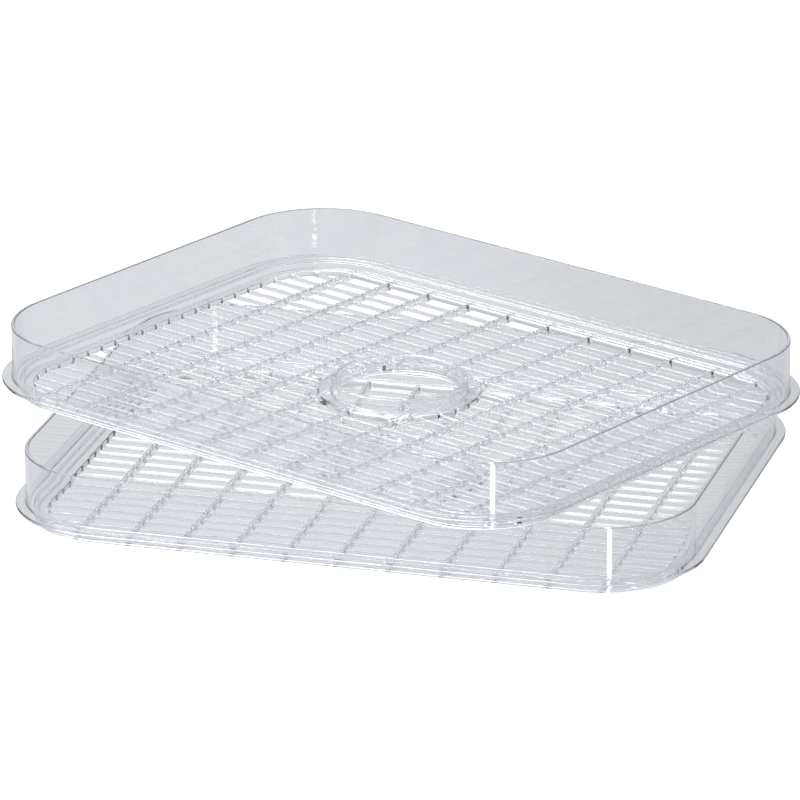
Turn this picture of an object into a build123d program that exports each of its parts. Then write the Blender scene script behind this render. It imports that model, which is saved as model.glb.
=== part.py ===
"""Two clear stacking trays of a food dehydrator, one resting askew on the other.

Each tray is one moulding, divided into its moulded features: an upright rim wall, a
stacking flange, a locating skirt, a slatted floor and a raised air collar. Both trays are
the same. The frame's origin is at the centre of the lower tray's underside, +X runs along
its long side and +Z is up. All dimensions are in millimetres.
"""
import os

from build123d import *

# Rim wall
tray_length = 330.0
tray_width = 257.0
corner_radius = 47.0
wall_thickness = 1.8
wall_height = 26.6
rim_edge_radius = 0.5

# Stacking flange, which stands out round the foot of the wall
flange_reach = 4.9
flange_thickness = 1.5
flange_edge_radius = 0.6

# Locating skirt, which drops inside the rim of the tray beneath
stacking_clearance = 2.1
skirt_thickness = 2.0
skirt_height = 6.3
skirt_edge_radius = 0.5

# Slatted floor: a solid border, ribs across the short side and slats along the long side
floor_height = 3.9
border_thickness = 2.7
least_border = 4.9
rib_pitch = 25.8
rib_thickness = 2.0
slat_pitch = 10.14
slat_thickness = 1.5
slat_height = 2.4
slat_drop = 0.9
slot_corner_radius = 1.2

# Hub plate and air collar round the centre air hole
air_hole_radius = 31.0
collar_thickness = 2.5
collar_rise = 5.9
collar_edge_radius = 0.6
hub_plate_width = 6.5

# How the upper tray lies on the lower one
upper_shift_x = -8.5
upper_shift_y = 20.5
upper_turn = -23.8
rest_gap = 0.1

# Levels above the tray's underside
flange_top = skirt_height + flange_thickness
tray_height = flange_top + wall_height
border_bottom = floor_height - border_thickness
slat_top = floor_height - slat_drop
slat_bottom = slat_top - slat_height

# Distances in from the wall's outer face
skirt_inset = wall_thickness + stacking_clearance
floor_inset = skirt_inset + skirt_thickness
grille_inset = floor_inset + least_border

# As many bays between ribs, and rows between slats, as the floor has room for
bay_count = int((tray_length - 2 * grille_inset + rib_thickness) / rib_pitch)
row_count = int((tray_width - 2 * grille_inset + slat_thickness) / slat_pitch)
grille_length = bay_count * rib_pitch - rib_thickness
grille_width = row_count * slat_pitch - slat_thickness

# Radii about the air hole
collar_radius = air_hole_radius + collar_thickness
hub_radius = collar_radius + hub_plate_width


def outline(inset, mode=Mode.ADD):
    """Draw the tray's rounded outline, moved in by inset, in the sketch being made."""
    length = tray_length - 2 * inset
    width = tray_width - 2 * inset
    RectangleRounded(length, width, corner_radius - inset, mode=mode)


def ribs(mode=Mode.ADD):
    """Draw the cross ribs, over the tray's full width, in the sketch being made."""
    with GridLocations(rib_pitch, 0, bay_count - 1, 1):
        Rectangle(rib_thickness, tray_width, mode=mode)


# The upright wall, rounded along its top edges
with BuildPart() as rim_wall:
    with BuildSketch(Plane.XY.offset(flange_top)):
        outline(0)
        outline(wall_thickness, mode=Mode.SUBTRACT)
    extrude(amount=wall_height)
    fillet(rim_wall.edges().group_by(Axis.Z)[-1], rim_edge_radius)

# The flat flange: it carries the wall, and reaches in as far as the skirt's inner face
with BuildPart() as stacking_flange:
    with BuildSketch(Plane.XY.offset(skirt_height)):
        outline(-flange_reach)
    extrude(amount=flange_thickness)
    fillet(stacking_flange.edges().group_by(Axis.Z)[-1], flange_edge_radius)
    with BuildSketch(Plane.XY.offset(skirt_height)):
        outline(floor_inset)
    extrude(amount=flange_thickness, mode=Mode.SUBTRACT)

# The skirt under the flange, rounded along its lower outer edge
with BuildPart() as locating_skirt:
    with BuildSketch():
        outline(skirt_inset)
    extrude(amount=skirt_height)
    fillet(locating_skirt.edges().group_by(Axis.Z)[0], skirt_edge_radius)
    with BuildSketch():
        outline(floor_inset)
    extrude(amount=skirt_height, mode=Mode.SUBTRACT)

# The openings between ribs and slats, trimmed by the rounded corners and by the hub
with BuildSketch() as slots:
    with GridLocations(rib_pitch, slat_pitch, bay_count, row_count):
        RectangleRounded(rib_pitch - rib_thickness, slat_pitch - slat_thickness, slot_corner_radius)
    outline(grille_inset, mode=Mode.INTERSECT)
    Circle(hub_radius, mode=Mode.SUBTRACT)

# The floor: a full plate, lowered over the slats, hollowed underneath so that the ribs and
# the ring round the air hole stay the full height, and pierced by the slots
with BuildPart() as slat_floor:
    with BuildSketch():
        outline(floor_inset)
        Circle(air_hole_radius, mode=Mode.SUBTRACT)
    extrude(amount=floor_height)
    with BuildSketch(Plane.XY.offset(slat_top)):
        Rectangle(grille_length, grille_width)
        outline(grille_inset, mode=Mode.INTERSECT)
        ribs(mode=Mode.SUBTRACT)
        Circle(hub_radius, mode=Mode.SUBTRACT)
    extrude(amount=slat_drop, mode=Mode.SUBTRACT)
    with BuildSketch():
        outline(0)
        ribs(mode=Mode.SUBTRACT)
        Circle(collar_radius, mode=Mode.SUBTRACT)
    extrude(amount=slat_bottom, mode=Mode.SUBTRACT)
    with BuildSketch(Plane.XY.offset(slat_bottom)):
        outline(0)
        Rectangle(grille_length, grille_width, mode=Mode.SUBTRACT)
        Circle(hub_radius)
        ribs(mode=Mode.SUBTRACT)
        Circle(collar_radius, mode=Mode.SUBTRACT)
    extrude(amount=border_bottom - slat_bottom, mode=Mode.SUBTRACT)
    with BuildSketch():
        add(slots.sketch)
    extrude(amount=slat_top, mode=Mode.SUBTRACT)

# The collar stands on the hub plate round the air hole
with BuildPart() as air_collar:
    with BuildSketch(Plane.XY.offset(floor_height)):
        Circle(collar_radius)
        Circle(air_hole_radius, mode=Mode.SUBTRACT)
    extrude(amount=collar_rise)
    fillet(air_collar.edges().group_by(Axis.Z)[-1], collar_edge_radius)

# Both trays are made from the same pieces, each put in its place in the stack
pieces = {
    "rim_wall": rim_wall,
    "stacking_flange": stacking_flange,
    "locating_skirt": locating_skirt,
    "slat_floor": slat_floor,
    "air_collar": air_collar,
}
places = {
    "lower": Location((0, 0, 0)),
    "upper": Location((upper_shift_x, upper_shift_y, tray_height + rest_gap), (0, 0, upper_turn)),
}

os.makedirs("parts", exist_ok=True)
for tray, place in places.items():
    for name, piece in pieces.items():
        solid = piece.part.moved(place)
        solid.label = f"{tray}_{name}"
        export_step(solid, f"parts/{solid.label}.step")
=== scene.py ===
"""Looks of the two clear stacking trays of a food dehydrator.

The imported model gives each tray's place and main sizes. Here each tray is one seamless
moulding with softened edges, in clear plastic. The tray's sizes are in millimetres, and the
camera's and the table's are in metres.
"""

import math

import bmesh
import bpy
import numpy as np
from mathutils import Matrix, Vector, noise
from mathutils.geometry import delaunay_2d_cdt


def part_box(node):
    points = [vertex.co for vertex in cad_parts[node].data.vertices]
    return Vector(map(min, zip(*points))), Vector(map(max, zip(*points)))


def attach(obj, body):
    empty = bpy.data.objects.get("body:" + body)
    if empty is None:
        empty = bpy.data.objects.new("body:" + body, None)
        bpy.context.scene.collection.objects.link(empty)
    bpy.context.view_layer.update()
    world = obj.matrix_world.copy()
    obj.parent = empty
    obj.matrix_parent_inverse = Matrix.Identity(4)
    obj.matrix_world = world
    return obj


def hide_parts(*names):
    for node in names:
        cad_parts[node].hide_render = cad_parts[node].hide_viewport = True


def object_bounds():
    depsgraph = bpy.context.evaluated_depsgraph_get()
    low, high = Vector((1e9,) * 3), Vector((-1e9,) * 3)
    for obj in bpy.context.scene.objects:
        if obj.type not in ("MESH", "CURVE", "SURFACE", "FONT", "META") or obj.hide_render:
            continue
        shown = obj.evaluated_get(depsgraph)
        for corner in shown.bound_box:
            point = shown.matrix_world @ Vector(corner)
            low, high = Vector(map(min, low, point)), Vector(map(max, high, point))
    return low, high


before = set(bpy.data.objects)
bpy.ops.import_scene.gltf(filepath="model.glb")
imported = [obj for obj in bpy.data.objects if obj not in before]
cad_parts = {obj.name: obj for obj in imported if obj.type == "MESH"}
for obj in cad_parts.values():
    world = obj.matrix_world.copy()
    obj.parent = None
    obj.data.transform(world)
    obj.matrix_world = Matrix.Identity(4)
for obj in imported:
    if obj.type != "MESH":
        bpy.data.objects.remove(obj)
cad_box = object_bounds()
MM = 0.001


def node_box(node):
    """The lowest and highest corners of a CAD node, in millimetres."""
    low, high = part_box(node)
    return np.array(low) / MM, np.array(high) / MM


# Sizes read from the frame
wall_high = node_box("lower_rim_wall")[1]
flange_low, flange_high = node_box("lower_stacking_flange")
skirt_high = node_box("lower_locating_skirt")[1]
floor_high = node_box("lower_slat_floor")[1]
collar_high = node_box("lower_air_collar")[1]
half_length, half_width = wall_high[0], wall_high[1]
rim_top = wall_high[2]
flange_reach = flange_high[0] - half_length
skirt_height, flange_top = flange_low[2], flange_high[2]
skirt_inset = half_length - skirt_high[0]
floor_inset = half_length - floor_high[0]
floor_top = floor_high[2]
collar_radius, collar_top = collar_high[0], collar_high[2]

# Sizes inside the pieces and the upper tray's turn, the same as in the CAD model
CORNER_RADIUS = 47.0
WALL_THICKNESS = 1.8
LEAST_BORDER = 4.9
BORDER_THICKNESS = 2.7
RIB_PITCH = 25.8
RIB_THICKNESS = 2.0
SLAT_PITCH = 10.14
SLAT_THICKNESS = 1.5
SLAT_HEIGHT = 2.4
SLAT_DROP = 0.9
COLLAR_THICKNESS = 2.5
HUB_PLATE_WIDTH = 6.5
UPPER_TURN = math.radians(-23.8)

# Softened edges. The floor's fillet has a slightly smaller arc, so that it ends clear of the flat
SLOT_CORNER_RADIUS = 0.8
SLOT_EDGE = 0.7
SLOT_FOOT = 0.3
STEP_RAMP = 0.45
FOOT_RAMP = 0.3
FLOOR_FILLET = 0.5
FLOOR_FILLET_ARC = FLOOR_FILLET * 0.9
EDGE = 0.4
FINE_EDGE = 0.35
FINE_ROOT = 0.3
COLLAR_EDGE = 0.8

# How finely curves are divided, and what counts as a sharp corner
EDGE_STEPS = 4
SLOT_EDGE_STEPS = 3
SLOT_FOOT_STEPS = 2
SLOT_ARC_STEPS = 6
CORNER_STEPS = 24
CIRCLE_STEPS = 96
SIDE_SPACING = 6.0
WALL_SPACING = 3.0
HUB_SPACING = 2.0
SHARP_TURN = math.radians(25)
SHARP_SHADING = math.radians(50)

# A slot's corner takes at most this share of a side, and the side's own points stay clear of its arc
SIDE_SHARE = 0.45
ARC_CLEARANCE = 0.05

# Points where the slats meet the ribs: how far apart across the slat, how far down the step, and
# how deep inside the grille they begin
SLAT_END_SPREAD = 0.7
STEP_GAPS = (0.15, 0.3, STEP_RAMP)
SLAT_END_DEPTH = 7.0

# A distance too small to matter on the floor, which is also the step of a search
FINE = 0.02

# Slight unevenness of the moulded wall's two faces, fading out near the rim and the flange
WAVE_DEPTH = 0.09
WAVE_LENGTH = 34.0
WAVE_SQUEEZE = 2.0
WAVE_MARGIN = 2.0
WAVE_FADE = 6.0
WALL_TOLERANCE = 0.1

# Settings of the triangulation: keep what is inside the loops, and merge points closer than this
FILL_INSIDE = 1
MERGE_DISTANCE = 1e-5

# Levels, radii, counts and places that follow from the sizes above
border_bottom = floor_top - BORDER_THICKNESS
slat_top = floor_top - SLAT_DROP
slat_bottom = slat_top - SLAT_HEIGHT
grille_inset = floor_inset + LEAST_BORDER
bay_count = int((2 * (half_length - grille_inset) + RIB_THICKNESS) / RIB_PITCH)
row_count = int((2 * (half_width - grille_inset) + SLAT_THICKNESS) / SLAT_PITCH)
half_grille_length = (bay_count * RIB_PITCH - RIB_THICKNESS) / 2
half_grille_width = (row_count * SLAT_PITCH - SLAT_THICKNESS) / 2
hole_radius = collar_radius - COLLAR_THICKNESS
hub_radius = collar_radius + HUB_PLATE_WIDTH
rib_places = [(i - (bay_count - 2) / 2) * RIB_PITCH for i in range(bay_count - 1)]
bay_places = [(i - (bay_count - 1) / 2) * RIB_PITCH for i in range(bay_count)]
row_places = [(i - (row_count - 1) / 2) * SLAT_PITCH for i in range(row_count)]
slat_places = [(i - (row_count - 2) / 2) * SLAT_PITCH for i in range(row_count - 1)]


def smoothstep(t):
    """0 below 0, 1 above 1, and a smooth rise between."""
    t = min(max(t, 0.0), 1.0)
    return t * t * (3 - 2 * t)


def outline(inset, side_spacing=SIDE_SPACING):
    """Points round the tray's rounded outline, moved in by inset, anticlockwise."""
    radius = CORNER_RADIUS - inset
    right = half_length - CORNER_RADIUS
    back = half_width - CORNER_RADIUS
    centres = [(right, back), (-right, back), (-right, -back), (right, -back)]
    points = []
    for quarter, (x, y) in enumerate(centres):
        for step in range(CORNER_STEPS + 1):
            angle = (quarter + step / CORNER_STEPS) * math.pi / 2
            points.append(np.array((x + radius * math.cos(angle), y + radius * math.sin(angle))))
        after = centres[(quarter + 1) % 4]
        run = np.array(after) - np.array((x, y))
        count = int(np.linalg.norm(run) / side_spacing)
        last = points[-1]
        points += [last + run * i / count for i in range(1, count)]
    return points


def circle(radius):
    """Points round a circle about the tray's centre, anticlockwise."""
    angles = [2 * math.pi * i / CIRCLE_STEPS for i in range(CIRCLE_STEPS)]
    return [np.array((radius * math.cos(a), radius * math.sin(a))) for a in angles]


def outline_depth(x, y, inset):
    """How far a point lies inside the outline that is moved in by inset."""
    over_x = abs(x) - (half_length - CORNER_RADIUS)
    over_y = abs(y) - (half_width - CORNER_RADIUS)
    outside = math.hypot(max(over_x, 0.0), max(over_y, 0.0)) + min(max(over_x, over_y), 0.0)
    return CORNER_RADIUS - inset - outside


def rib_gap(x):
    """Distance from the nearest rib's side, below 0 on the rib."""
    return min(abs(x - rib) for rib in rib_places) - RIB_THICKNESS / 2


def slat_zone_depth(x, y):
    """How far a point lies inside the lowered grille, ribs not counted."""
    sides = min(half_grille_length - abs(x), half_grille_width - abs(y))
    return min(sides, outline_depth(x, y, grille_inset), math.hypot(x, y) - hub_radius)


def top_height(x, y):
    """The floor's top: level on the border, ribs and hub plate, and lower on the slats."""
    depth = min(slat_zone_depth(x, y), rib_gap(x))
    return floor_top - SLAT_DROP * smoothstep(depth / STEP_RAMP)


def foot_height(x, y):
    """The floor's underside: the ribs reach lowest, then the slats, then the border."""
    lowered = smoothstep(slat_zone_depth(x, y) / FOOT_RAMP)
    plate = border_bottom + (slat_bottom - border_bottom) * lowered
    on_rib = 1 - smoothstep(rib_gap(x) / FOOT_RAMP)
    from_skirt = outline_depth(x, y, floor_inset + FLOOR_FILLET)
    from_collar = math.hypot(x, y) - collar_radius - FLOOR_FILLET
    return plate * (1 - on_rib * smoothstep(min(from_skirt, from_collar) / FOOT_RAMP))


def turn_at(before, point, after):
    """The angle by which a path turns at a point, left turns positive."""
    a, b = point - before, after - point
    return math.atan2(a[0] * b[1] - a[1] * b[0], a @ b)


def rounded_path(corners):
    """A path through (x, y, radius) corners, rounded by their radii. Both ends have radius 0."""
    points = []
    for i, (x, y, radius) in enumerate(corners):
        here = np.array((x, y), float)
        if radius == 0:
            points.append(here)
            continue
        before = np.array(corners[i - 1][:2], float)
        after = np.array(corners[i + 1][:2], float)
        points += arc_corner(before, here, after, radius)
    return points


def arc_corner(before, here, after, radius):
    """Points of the arc that rounds the corner at here."""
    turn = turn_at(before, here, after)
    back = (before - here) / np.linalg.norm(before - here)
    reach = radius * math.tan(abs(turn) / 2)
    start = here + back * reach
    centre = start + radius * math.copysign(1, turn) * np.array((back[1], -back[0]))
    arm = start - centre
    points = []
    for step in range(EDGE_STEPS + 1):
        angle = turn * step / EDGE_STEPS
        cos, sin = math.cos(angle), math.sin(angle)
        points.append(centre + np.array((cos * arm[0] - sin * arm[1], sin * arm[0] + cos * arm[1])))
    return points


def clip_to_outline(polygon):
    """The part of a convex polygon that lies inside the grille's rounded outline."""
    # So wide a spacing leaves the straight sides without points
    edge = outline(grille_inset, side_spacing=2 * half_length)
    for a, b in zip(edge, edge[1:] + edge[:1]):
        along = b - a
        side = [along[0] * (p[1] - a[1]) - along[1] * (p[0] - a[0]) for p in polygon]
        if min(side) >= 0:
            continue
        kept = []
        for i, p in enumerate(polygon):
            j = (i + 1) % len(polygon)
            if side[i] >= 0:
                kept.append(p)
            if (side[i] >= 0) != (side[j] >= 0):
                share = side[i] / (side[i] - side[j])
                kept.append(p + (polygon[j] - p) * share)
        polygon = kept
        if not polygon:
            return []
    return polygon


def circle_crossing(a, b, radius):
    """Where the segment from a to b crosses a circle about the centre."""
    run = b - a
    p, q, r = run @ run, a @ run, a @ a - radius * radius
    root = math.sqrt(q * q - p * r)
    shares = [s for s in ((-q - root) / p, (-q + root) / p) if 0 <= s <= 1]
    return a + run * shares[0]


def cut_by_hub(polygon):
    """The part of a polygon that lies outside the hub plate."""
    out = [math.hypot(*p) > hub_radius for p in polygon]
    if all(out):
        return polygon
    if not any(out):
        return []
    count = len(polygon)
    first = next(i for i in range(count) if out[i] and not out[i - 1])
    kept = [circle_crossing(polygon[first - 1], polygon[first], hub_radius)]
    i = first
    while out[i % count]:
        kept.append(polygon[i % count])
        i += 1
    kept.append(circle_crossing(polygon[(i - 1) % count], polygon[i % count], hub_radius))
    start = math.atan2(kept[-1][1], kept[-1][0])
    end = math.atan2(kept[0][1], kept[0][0])
    sweep = (end - start + math.pi) % (2 * math.pi) - math.pi
    steps = max(2, round(abs(sweep) * hub_radius / HUB_SPACING))
    for step in range(1, steps):
        angle = start + sweep * step / steps
        kept.append(hub_radius * np.array((math.cos(angle), math.sin(angle))))
    return kept


def soften_corners(polygon):
    """The polygon with each sharp corner rounded as far as its sides allow."""
    polygon = [p for i, p in enumerate(polygon) if np.linalg.norm(p - polygon[i - 1]) > FINE]
    count = len(polygon)
    turns = [turn_at(polygon[i - 1], p, polygon[(i + 1) % count]) for i, p in enumerate(polygon)]
    corners = [i for i, turn in enumerate(turns) if abs(turn) > SHARP_TURN]
    sides = []
    for a, b in zip(corners, corners[1:] + [corners[0] + count]):
        run = [polygon[i % count] for i in range(a, b + 1)]
        gaps = [0.0] + [float(np.linalg.norm(q - p)) for p, q in zip(run, run[1:])]
        sides.append((run, np.cumsum(gaps)))
    reaches = []
    for number, corner in enumerate(corners):
        wanted = SLOT_CORNER_RADIUS * math.tan(abs(turns[corner]) / 2)
        shorter = min(sides[number][1][-1], sides[number - 1][1][-1])
        reaches.append(min(wanted, SIDE_SHARE * shorter))
    points = []
    for number, corner in enumerate(corners):
        run, gone = sides[number]
        back_run, back_gone = sides[number - 1]
        reach = reaches[number]
        start = along_run(back_run, back_gone, back_gone[-1] - reach)
        end = along_run(run, gone, reach)
        radius = reach / math.tan(abs(turns[corner]) / 2)
        points += bezier_corner(start, polygon[corner], end, abs(turns[corner]), radius)
        first = reach + ARC_CLEARANCE
        last = gone[-1] - reaches[(number + 1) % len(corners)] - ARC_CLEARANCE
        points += [p for p, s in zip(run, gone) if first < s < last]
    return points


def along_run(run, gone, length):
    """The point that lies a length along a run of points."""
    return np.array([np.interp(length, gone, [p[k] for p in run]) for k in range(2)])


def bezier_corner(start, corner, end, turn, radius):
    """Points of a near-circular arc from start to end, which rounds the corner."""
    handle = 4 / 3 * math.tan(turn / 4) * radius
    into = (corner - start) / np.linalg.norm(corner - start)
    away = (corner - end) / np.linalg.norm(corner - end)
    a, b = start + into * handle, end + away * handle
    points = []
    for step in range(SLOT_ARC_STEPS + 1):
        t = step / SLOT_ARC_STEPS
        u = 1 - t
        points.append(u**3 * start + 3 * u * u * t * a + 3 * u * t * t * b + t**3 * end)
    return points


def slot_outlines():
    """The outlines of the floor's openings, anticlockwise."""
    found = []
    half_x = (RIB_PITCH - RIB_THICKNESS) / 2
    half_y = (SLAT_PITCH - SLAT_THICKNESS) / 2
    for x in bay_places:
        for y in row_places:
            corners = [(-half_x, -half_y), (half_x, -half_y), (half_x, half_y), (-half_x, half_y)]
            whole = [np.array((x + dx, y + dy)) for dx, dy in corners]
            polygon = cut_by_hub(clip_to_outline(whole))
            if len(polygon) > 2:
                found.append(soften_corners(polygon))
    return found


def moved_out(points, distance):
    """A closed outline's points, each moved out by a distance."""
    result = []
    for i, p in enumerate(points):
        a = p - points[i - 1]
        b = points[(i + 1) % len(points)] - p
        a, b = a / np.linalg.norm(a), b / np.linalg.norm(b)
        normal = np.array((a[1] + b[1], -a[0] - b[0]))
        result.append(p + normal * distance * 2 / (normal @ normal))
    return result


class Shell:
    """A mesh being built from rings of points."""

    def __init__(self):
        self.points = []
        self.faces = []

    def ring(self, points):
        """Adds points, and gives back their numbers."""
        first = len(self.points)
        self.points += [tuple(map(float, p)) for p in points]
        return list(range(first, len(self.points)))

    def bridge(self, a, b):
        """Joins two closed rings of as many points with a band of faces."""
        for i in range(len(a)):
            j = (i + 1) % len(a)
            self.faces.append((a[i], a[j], b[j], b[i]))

    def loft(self, rings):
        """Joins each ring to the next."""
        for a, b in zip(rings, rings[1:]):
            self.bridge(a, b)

    def fill(self, outer, holes, spare, lines, height):
        """Fills the flat area between an outer ring and holes, with spare points and lines."""
        numbers = list(outer)
        loops = [list(range(len(outer)))]
        for hole in holes:
            loops.append(list(range(len(numbers), len(numbers) + len(hole))))
            numbers += hole
        for x, y in spare:
            numbers.append(len(self.points))
            self.points.append((x, y, height(x, y)))
        edges = []
        for line in lines:
            first = len(numbers)
            for x, y in line:
                numbers.append(len(self.points))
                self.points.append((x, y, height(x, y)))
            edges += [(i, i + 1) for i in range(first, len(numbers) - 1)]
        flat = [Vector(self.points[n][:2]) for n in numbers]
        found = delaunay_2d_cdt(flat, edges, loops, FILL_INSIDE, MERGE_DISTANCE, True)
        places, triangles, from_points, from_loops = found[0], found[2], found[3], found[5]
        order = []
        for place, sources in zip(places, from_points):
            if sources:
                order.append(numbers[sources[0]])
            else:
                order.append(len(self.points))
                self.points.append((place[0], place[1], height(place[0], place[1])))
        for triangle, sources in zip(triangles, from_loops):
            if list(sources) == [0]:
                self.faces.append(tuple(order[i] for i in triangle))


def wall_wave(x, y, z):
    """How far the wall's face stands in at a place, smallest at the rim and the flange."""
    swell = noise.noise(Vector((x, y, z * WAVE_SQUEEZE)) / WAVE_LENGTH) + 1
    above_flange = smoothstep((z - flange_top - WAVE_MARGIN) / WAVE_FADE)
    below_rim = smoothstep((rim_top - WAVE_MARGIN - z) / WAVE_FADE)
    return WAVE_DEPTH * swell / 2 * (above_flange * below_rim)


def rim_ring(depth, level):
    """The points of the ring that is a depth inside the wall's face, with the wall's unevenness."""
    on_wall = -WALL_TOLERANCE < depth < WALL_THICKNESS + WALL_TOLERANCE
    points = []
    for x, y in outline(depth):
        wave = wall_wave(x, y, level) if on_wall else 0.0
        shift = -wave if depth < WALL_THICKNESS / 2 else wave / 2
        scale = 1 + shift / math.hypot(x, y)
        points.append((x * scale, y * scale, level))
    return points


def rim_rings(shell):
    """The rings from the floor's top, up the rim wall, out to the flange, and under the floor."""
    corners = [
        (floor_inset + FLOOR_FILLET, floor_top, 0),
        (floor_inset, floor_top, FLOOR_FILLET_ARC),
        (floor_inset, flange_top, FINE_EDGE),
        (WALL_THICKNESS, flange_top, FINE_ROOT),
        (WALL_THICKNESS, rim_top, EDGE),
        (0, rim_top, EDGE),
        (0, flange_top, EDGE),
        (-flange_reach, flange_top, EDGE),
        (-flange_reach, skirt_height, FINE_EDGE),
        (skirt_inset, skirt_height, FINE_ROOT),
        (skirt_inset, 0, EDGE),
        (floor_inset, 0, FINE_EDGE),
        (floor_inset, border_bottom, FLOOR_FILLET_ARC),
        (floor_inset + FLOOR_FILLET, border_bottom, 0),
    ]
    profile = rounded_path(corners)
    rings = []
    for before, (inset, z) in zip(profile[:1] + profile, profile):
        rise = z - before[1]
        steps = max(1, round(abs(rise) / WALL_SPACING))
        for step in range(1, steps + 1):
            share = step / steps
            depth = before[0] + (inset - before[0]) * share
            rings.append(shell.ring(rim_ring(depth, before[1] + rise * share)))
    return rings


def collar_rings(shell):
    """The rings from the hub plate, up and over the collar, down the air hole and out under it."""
    foot = collar_radius + FLOOR_FILLET
    corners = [
        (foot, floor_top, 0),
        (collar_radius, floor_top, FLOOR_FILLET_ARC),
        (collar_radius, collar_top, COLLAR_EDGE),
        (hole_radius, collar_top, COLLAR_EDGE),
        (hole_radius, 0, EDGE),
        (collar_radius, 0, EDGE),
        (collar_radius, border_bottom, FLOOR_FILLET_ARC),
        (foot, border_bottom, 0),
    ]
    profile = rounded_path(corners)
    return [shell.ring([(x, y, z) for x, y in circle(radius)]) for radius, z in profile]


def slot_rings(shell, points):
    """The rings of one opening, from the floor's top down to its underside."""
    rings = []
    top = [top_height(*p) for p in moved_out(points, SLOT_EDGE)]
    foot = [foot_height(*p) for p in moved_out(points, SLOT_FOOT)]
    for step in range(SLOT_EDGE_STEPS + 1):
        angle = step / SLOT_EDGE_STEPS * math.pi / 2
        ring = moved_out(points, SLOT_EDGE * (1 - math.sin(angle)))
        drop = SLOT_EDGE * (1 - math.cos(angle))
        rings.append(shell.ring([(x, y, z - drop) for (x, y), z in zip(ring, top)]))
    for step in range(SLOT_FOOT_STEPS + 1):
        angle = step / SLOT_FOOT_STEPS * math.pi / 2
        ring = moved_out(points, SLOT_FOOT * (1 - math.cos(angle)))
        rise = SLOT_FOOT * (1 - math.sin(angle))
        rings.append(shell.ring([(x, y, z + rise) for (x, y), z in zip(ring, foot)]))
    return rings


def slat_ends():
    """Points on the slats where they meet the ribs, so that the step between them is round."""
    spots = [(0, SLAT_END_SPREAD), (0, 0), (0, -SLAT_END_SPREAD)]
    spots += [(gap, 0) for gap in STEP_GAPS]
    points = []
    for rib in rib_places:
        for side in (-1, 1):
            for y in slat_places:
                for gap, spread in spots:
                    x = rib + side * (RIB_THICKNESS / 2 + gap)
                    if slat_zone_depth(x, y) > SLAT_END_DEPTH:
                        points.append((x, y + spread))
    return points


def rib_feet():
    """Lines along the ribs' sides under the border and the hub plate."""
    lines = []
    for rib in rib_places:
        for side in (-1, 1):
            for gap in (0, FOOT_RAMP):
                x = rib + side * (RIB_THICKNESS / 2 + gap)
                edge = half_width - floor_inset - FLOOR_FILLET
                while outline_depth(x, edge, floor_inset + FLOOR_FILLET) < FINE:
                    edge -= FINE
                start = min(half_grille_width, grille_edge(x)) + 2 * SLOT_FOOT
                for way in (-1, 1):
                    lines.append([(x, way * y) for y in (start, edge - FOOT_RAMP, edge)])
                if abs(x) < collar_radius:
                    inner = math.sqrt((collar_radius + FLOOR_FILLET + FINE) ** 2 - x * x)
                    outer = math.sqrt(hub_radius**2 - x * x) - 2 * SLOT_FOOT
                    for way in (-1, 1):
                        lines.append([(x, way * y) for y in (inner, inner + FOOT_RAMP, outer)])
    return lines


def grille_edge(x):
    """How far the grille's rounded outline reaches across the tray at x."""
    y = half_width - grille_inset
    while outline_depth(x, y, grille_inset) < 0:
        y -= FINE
    return y


def tray_mesh():
    """One tray as a single closed moulding, in millimetres, about the tray's own centre."""
    shell = Shell()
    rim = rim_rings(shell)
    collar = collar_rings(shell)
    slots = [slot_rings(shell, points) for points in slot_outlines()]
    shell.loft(rim)
    shell.loft(collar)
    for rings in slots:
        shell.loft(rings)
    shell.fill(rim[0], [collar[0]] + [rings[0] for rings in slots], slat_ends(), [], top_height)
    shell.fill(rim[-1], [collar[-1]] + [rings[-1] for rings in slots], [], rib_feet(), foot_height)
    return shell


def nodes_of(tree, names):
    """Makes one node for each (key, type), and gives them back by key."""
    return {key: tree.nodes.new(kind) for key, kind in names.items()}


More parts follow.
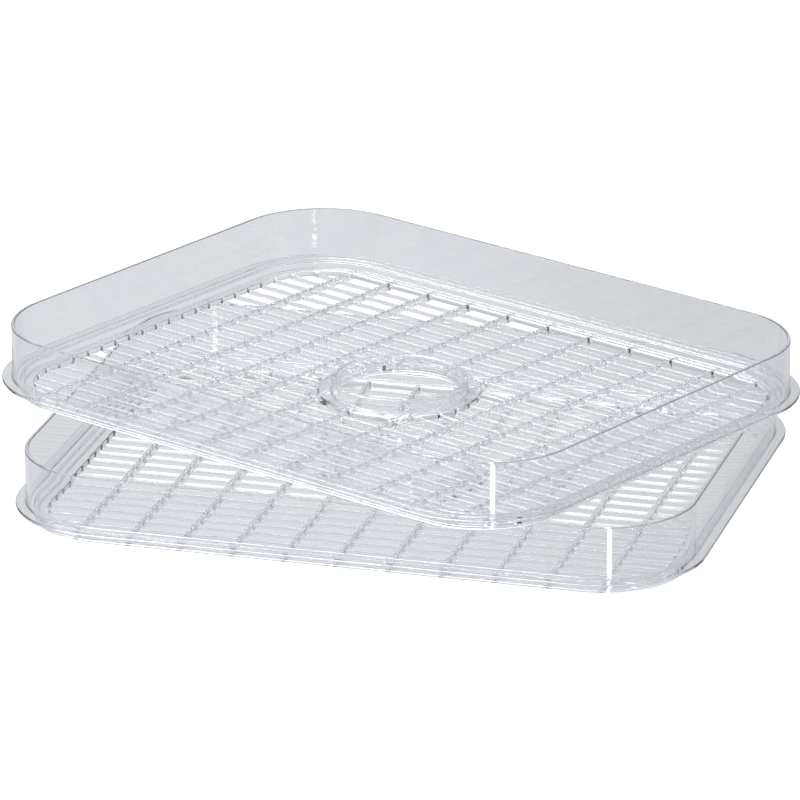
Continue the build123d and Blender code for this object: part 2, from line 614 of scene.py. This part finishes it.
def clear_plastic():
    """Clear styrene: a trace of blue-grey, long soft swells and a finer moulding ripple."""
    material = bpy.data.materials.new("clear_plastic")
    material.use_nodes = True
    tree = material.node_tree
    tree.nodes.clear()
    n = nodes_of(tree, {
        "out": "ShaderNodeOutputMaterial",
        "shader": "ShaderNodeBsdfPrincipled",
        "volume": "ShaderNodeVolumeAbsorption",
        "place": "ShaderNodeTexCoord",
        "swell": "ShaderNodeTexNoise",
        "ripple": "ShaderNodeTexNoise",
        "haze": "ShaderNodeTexNoise",
        "swell_bump": "ShaderNodeBump",
        "ripple_bump": "ShaderNodeBump",
        "gloss": "ShaderNodeMapRange",
        "tint": "ShaderNodeValToRGB",
    })
    n["shader"].inputs["Transmission Weight"].default_value = 1.0
    n["shader"].inputs["IOR"].default_value = 1.57
    n["volume"].inputs["Color"].default_value = (0.72, 0.80, 0.88, 1)
    n["volume"].inputs["Density"].default_value = 7.0
    for key, scale, detail in (("swell", 55.0, 2.0), ("ripple", 210.0, 3.0), ("haze", 90.0, 4.0)):
        n[key].inputs["Scale"].default_value = scale
        n[key].inputs["Detail"].default_value = detail
        tree.links.new(n["place"].outputs["Object"], n[key].inputs["Vector"])
    for key, distance in (("swell", 0.00002), ("ripple", 0.000003)):
        n[key + "_bump"].inputs["Distance"].default_value = distance
        tree.links.new(n[key].outputs["Fac"], n[key + "_bump"].inputs["Height"])
    tree.links.new(n["swell_bump"].outputs["Normal"], n["ripple_bump"].inputs["Normal"])
    tree.links.new(n["ripple_bump"].outputs["Normal"], n["shader"].inputs["Normal"])
    n["gloss"].inputs["To Min"].default_value = 0.02
    n["gloss"].inputs["To Max"].default_value = 0.05
    tree.links.new(n["haze"].outputs["Fac"], n["gloss"].inputs["Value"])
    tree.links.new(n["gloss"].outputs["Result"], n["shader"].inputs["Roughness"])
    n["tint"].color_ramp.elements[0].color = (0.925, 0.934, 0.948, 1)
    n["tint"].color_ramp.elements[1].color = (0.955, 0.962, 0.972, 1)
    tree.links.new(n["haze"].outputs["Fac"], n["tint"].inputs["Fac"])
    tree.links.new(n["tint"].outputs["Color"], n["shader"].inputs["Base Color"])
    tree.links.new(n["shader"].outputs["BSDF"], n["out"].inputs["Surface"])
    tree.links.new(n["volume"].outputs["Volume"], n["out"].inputs["Volume"])
    return material


def tray_object(name, body, nodes, mesh, material):
    """Puts one tray in the scene, riding its body and standing for its CAD nodes."""
    piece = bpy.data.objects.new(name, mesh)
    bpy.context.scene.collection.objects.link(piece)
    mesh.materials.append(material)
    shading = piece.modifiers.new("even_shading", "WEIGHTED_NORMAL")
    shading.keep_sharp = True
    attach(piece, body)
    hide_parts(*nodes)
    return piece


def blender_mesh(name, shell, place):
    """A Blender mesh of the shell at its place, in metres, smooth and with its faces outward."""
    mesh = bpy.data.meshes.new(name)
    used = sorted({n for face in shell.faces for n in face})
    order = {n: i for i, n in enumerate(used)}
    points = [tuple(c * MM for c in shell.points[n]) for n in used]
    mesh.from_pydata(points, [], [tuple(order[n] for n in face) for face in shell.faces])
    work = bmesh.new()
    work.from_mesh(mesh)
    bmesh.ops.recalc_face_normals(work, faces=work.faces)
    open_edges = sum(not edge.is_manifold for edge in work.edges)
    print(f"{name}: {len(work.verts)} points, {open_edges} open edges")
    work.to_mesh(mesh)
    work.free()
    mesh.transform(place)
    mesh.shade_smooth()
    mesh.set_sharp_from_angle(angle=SHARP_SHADING)
    return mesh


# The camera stands to the front right and looks down on the upper tray
CAMERA_AZIMUTH = math.radians(15.77)
CAMERA_ELEVATION = math.radians(20.26)
CAMERA_DISTANCE = 3.54
CAMERA_ROLL = math.radians(-0.17)
CAMERA_LENS = 324.9
LOOK_FROM_UPPER_HUB = Vector((-0.0028, 0.0103, -0.0062))


def place_camera(hub):
    """The camera, aimed near the middle of the upper tray."""
    a, e = CAMERA_AZIMUTH, CAMERA_ELEVATION
    back = Vector((math.sin(a) * math.cos(e), -math.cos(a) * math.cos(e), math.sin(e)))
    data = bpy.data.cameras.new("camera")
    data.lens = CAMERA_LENS
    data.clip_end = 100
    camera = bpy.data.objects.new("camera", data)
    bpy.context.scene.collection.objects.link(camera)
    turn = back.to_track_quat("Z", "Y").to_matrix().to_4x4()
    roll = Matrix.Rotation(CAMERA_ROLL, 4, "Z")
    place = hub + LOOK_FROM_UPPER_HUB + back * CAMERA_DISTANCE
    camera.matrix_world = Matrix.Translation(place) @ turn @ roll
    bpy.context.scene.camera = camera


# The table reaches out of sight, and lies a hair under the trays
TABLE_REACH = 30.0
TABLE_GAP = 0.0006


def make_floor():
    """A plain white table top."""
    reach = TABLE_REACH
    mesh = bpy.data.meshes.new("floor")
    corners = [(-reach, -reach, 0), (reach, -reach, 0), (reach, reach, 0), (-reach, reach, 0)]
    mesh.from_pydata(corners, [], [(0, 1, 2, 3)])
    floor = bpy.data.objects.new("floor", mesh)
    bpy.context.scene.collection.objects.link(floor)
    floor.location.z = cad_box[0].z - TABLE_GAP
    material = bpy.data.materials.new("white_table")
    material.use_nodes = True
    shader = material.node_tree.nodes["Principled BSDF"]
    shader.inputs["Base Color"].default_value = (0.93, 0.935, 0.94, 1)
    shader.inputs["Roughness"].default_value = 0.9
    shader.inputs["Specular IOR Level"].default_value = 0.0
    mesh.materials.append(material)
    floor.visible_glossy = False
    floor.visible_transmission = False


# Brightness of the studio by height above the horizon, as (sine of elevation, grey)
CARDS = (
    (-1.0, 0.59), (-0.62, 0.63), (-0.45, 0.77), (-0.04, 0.79), (0.06, 0.66), (0.55, 0.60),
    (0.80, 1.4), (0.90, 2.2), (1.0, 2.2),
)
# The cards' faintly cool tint
COOL = np.array((0.975, 0.99, 1.02))

# The lamps, and the share of the cards' brightness that is left on the shaded right side. A pair of
# values is where a soft edge starts and where it ends, as an angle or as the x or z of a direction
SOFTBOX = Vector((-0.30, 0.42, 0.86)).normalized()
SOFTBOX_EDGE = (math.radians(15), math.radians(20))
SOFTBOX_LIGHT = 5.0
STRIP_AZIMUTH = math.radians(10.3)
STRIP_SIDES = (math.radians(1.8), math.radians(3.2))
STRIP_FOOT = (-0.43, -0.40)
STRIP_TOP = (-0.30, -0.27)
STRIP_LIGHT = 10.0
PANEL_SIDES = (0.55, 0.80)
PANEL_FOOT = (-0.12, 0.0)
PANEL_LIGHT = 0.55
SHADE_EDGE = (-0.01, 0.05)
SHADED_SIDE = 0.86
TABLE_LIGHT = 1.0


def studio_light():
    """Cards all round and lamps for the plastic, and even white light for the table.

    The lamps are a softbox overhead, a panel on each side and a narrow strip for the rounded corners.
    """
    world = bpy.data.worlds.new("studio")
    bpy.context.scene.world = world
    world.use_nodes = True
    tree = world.node_tree
    tree.nodes.clear()
    link = tree.links.new

    def math_node(kind, *values):
        node = tree.nodes.new("ShaderNodeMath")
        node.operation = kind
        for socket, value in zip(node.inputs, values):
            if isinstance(value, (int, float)):
                socket.default_value = value
            else:
                link(value, socket)
        return node.outputs["Value"]

    def rise(value, low, high):
        node = tree.nodes.new("ShaderNodeMapRange")
        node.interpolation_type = "SMOOTHSTEP"
        node.inputs["From Min"].default_value = low
        node.inputs["From Max"].default_value = high
        link(value, node.inputs["Value"])
        return node.outputs["Result"]

    def cards():
        ramp = tree.nodes.new("ShaderNodeValToRGB")
        link(math_node("MULTIPLY_ADD", z, 0.5, 0.5), ramp.inputs["Fac"])
        stops = ramp.color_ramp.elements
        stops[0].position, stops[1].position = 0.0, 1.0
        stops[0].color = (*(COOL * CARDS[0][1]), 1)
        stops[1].color = (*(COOL * CARDS[-1][1]), 1)
        for height, grey in CARDS[1:-1]:
            stops.new((height + 1) / 2).color = (*(COOL * grey), 1)
        return ramp.outputs["Color"]

    def fall(value, low, high):
        return math_node("SUBTRACT", 1.0, rise(value, low, high))

    def lobe(centre, inner, outer):
        node = tree.nodes.new("ShaderNodeVectorMath")
        node.operation = "DOT_PRODUCT"
        link(turn.outputs["Vector"], node.inputs[0])
        node.inputs[1].default_value = centre
        return rise(node.outputs["Value"], math.cos(outer), math.cos(inner))

    def background(colour=None, strength=None):
        node = tree.nodes.new("ShaderNodeBackground")
        if colour is not None:
            link(colour, node.inputs["Color"])
        if strength is not None:
            link(strength, node.inputs["Strength"])
        return node

    place = tree.nodes.new("ShaderNodeTexCoord")
    turn = tree.nodes.new("ShaderNodeMapping")
    turn.inputs["Rotation"].default_value = (0, 0, -CAMERA_AZIMUTH)
    link(place.outputs["Generated"], turn.inputs["Vector"])
    split = tree.nodes.new("ShaderNodeSeparateXYZ")
    link(turn.outputs["Vector"], split.inputs["Vector"])
    x, y, z = (split.outputs[k] for k in "XYZ")

    # The strip, the softbox overhead and the side panels
    azimuth = math_node("ARCTAN2", x, math_node("MULTIPLY", y, -1.0))
    off = math_node("ABSOLUTE", math_node("SUBTRACT", azimuth, STRIP_AZIMUTH))
    upright = math_node("MULTIPLY", rise(z, *STRIP_FOOT), fall(z, *STRIP_TOP))
    strip = math_node("MULTIPLY", math_node("MULTIPLY", fall(off, *STRIP_SIDES), upright), STRIP_LIGHT)
    softbox = math_node("MULTIPLY", lobe(SOFTBOX, *SOFTBOX_EDGE), SOFTBOX_LIGHT)
    sides = math_node("MULTIPLY", rise(math_node("ABSOLUTE", x), *PANEL_SIDES), rise(z, *PANEL_FOOT))
    panels = math_node("MULTIPLY", sides, PANEL_LIGHT)
    lamps = background(strength=math_node("ADD", math_node("ADD", strip, softbox), panels))
    lamps.inputs["Color"].default_value = (1, 1, 1, 1)

    # The cards, a little darker on the right
    shade = math_node("MULTIPLY", rise(x, *SHADE_EDGE), 1 - SHADED_SIDE)
    shaded = math_node("SUBTRACT", 1.0, shade)
    plastic_sees = tree.nodes.new("ShaderNodeAddShader")
    link(background(cards(), shaded).outputs["Background"], plastic_sees.inputs[0])
    link(lamps.outputs["Background"], plastic_sees.inputs[1])

    # Even light on the table, and a white background
    even = background()
    even.inputs["Color"].default_value = (1, 1, 1, 1)
    even.inputs["Strength"].default_value = TABLE_LIGHT
    rays = tree.nodes.new("ShaderNodeLightPath")
    plain = math_node("MAXIMUM", rays.outputs["Is Camera Ray"], rays.outputs["Diffuse Depth"])
    final = tree.nodes.new("ShaderNodeMixShader")
    link(math_node("MINIMUM", plain, 1.0), final.inputs["Fac"])
    link(plastic_sees.outputs["Shader"], final.inputs[1])
    link(even.outputs["Background"], final.inputs[2])
    out = tree.nodes.new("ShaderNodeOutputWorld")
    link(final.outputs["Shader"], out.inputs["Surface"])


def key_light():
    """A wide soft light from the camera's own side, so that the shadow falls behind the trays."""
    data = bpy.data.lights.new("key", "SUN")
    data.energy = 7.0
    data.angle = math.radians(7)
    key = bpy.data.objects.new("key", data)
    bpy.context.scene.collection.objects.link(key)
    key.matrix_world = bpy.context.scene.camera.matrix_world.copy()
    key.visible_glossy = False
    key.visible_transmission = False


FEATURES = ("rim_wall", "stacking_flange", "locating_skirt", "slat_floor", "air_collar")
upper_collar_low, upper_collar_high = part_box("upper_air_collar")
upper_hub = (upper_collar_low + upper_collar_high) / 2
upper_hub.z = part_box("upper_locating_skirt")[0].z
places = {
    "lower": Matrix.Identity(4),
    "upper": Matrix.Translation(upper_hub) @ Matrix.Rotation(UPPER_TURN, 4, "Z"),
}
tray = tray_mesh()
plastic = clear_plastic()
for which, place in places.items():
    mesh = blender_mesh(f"{which}_tray", tray, place)
    covered = [f"{which}_{feature}" for feature in FEATURES]
    tray_object(f"{which}_tray_moulding", f"{which}_tray", covered, mesh, plastic)

place_camera(upper_hub)
make_floor()
studio_light()
key_light()

scene = bpy.context.scene
scene.view_settings.view_transform = "Standard"
scene.cycles.max_bounces = 32
scene.cycles.transmission_bounces = 32
scene.cycles.glossy_bounces = 12
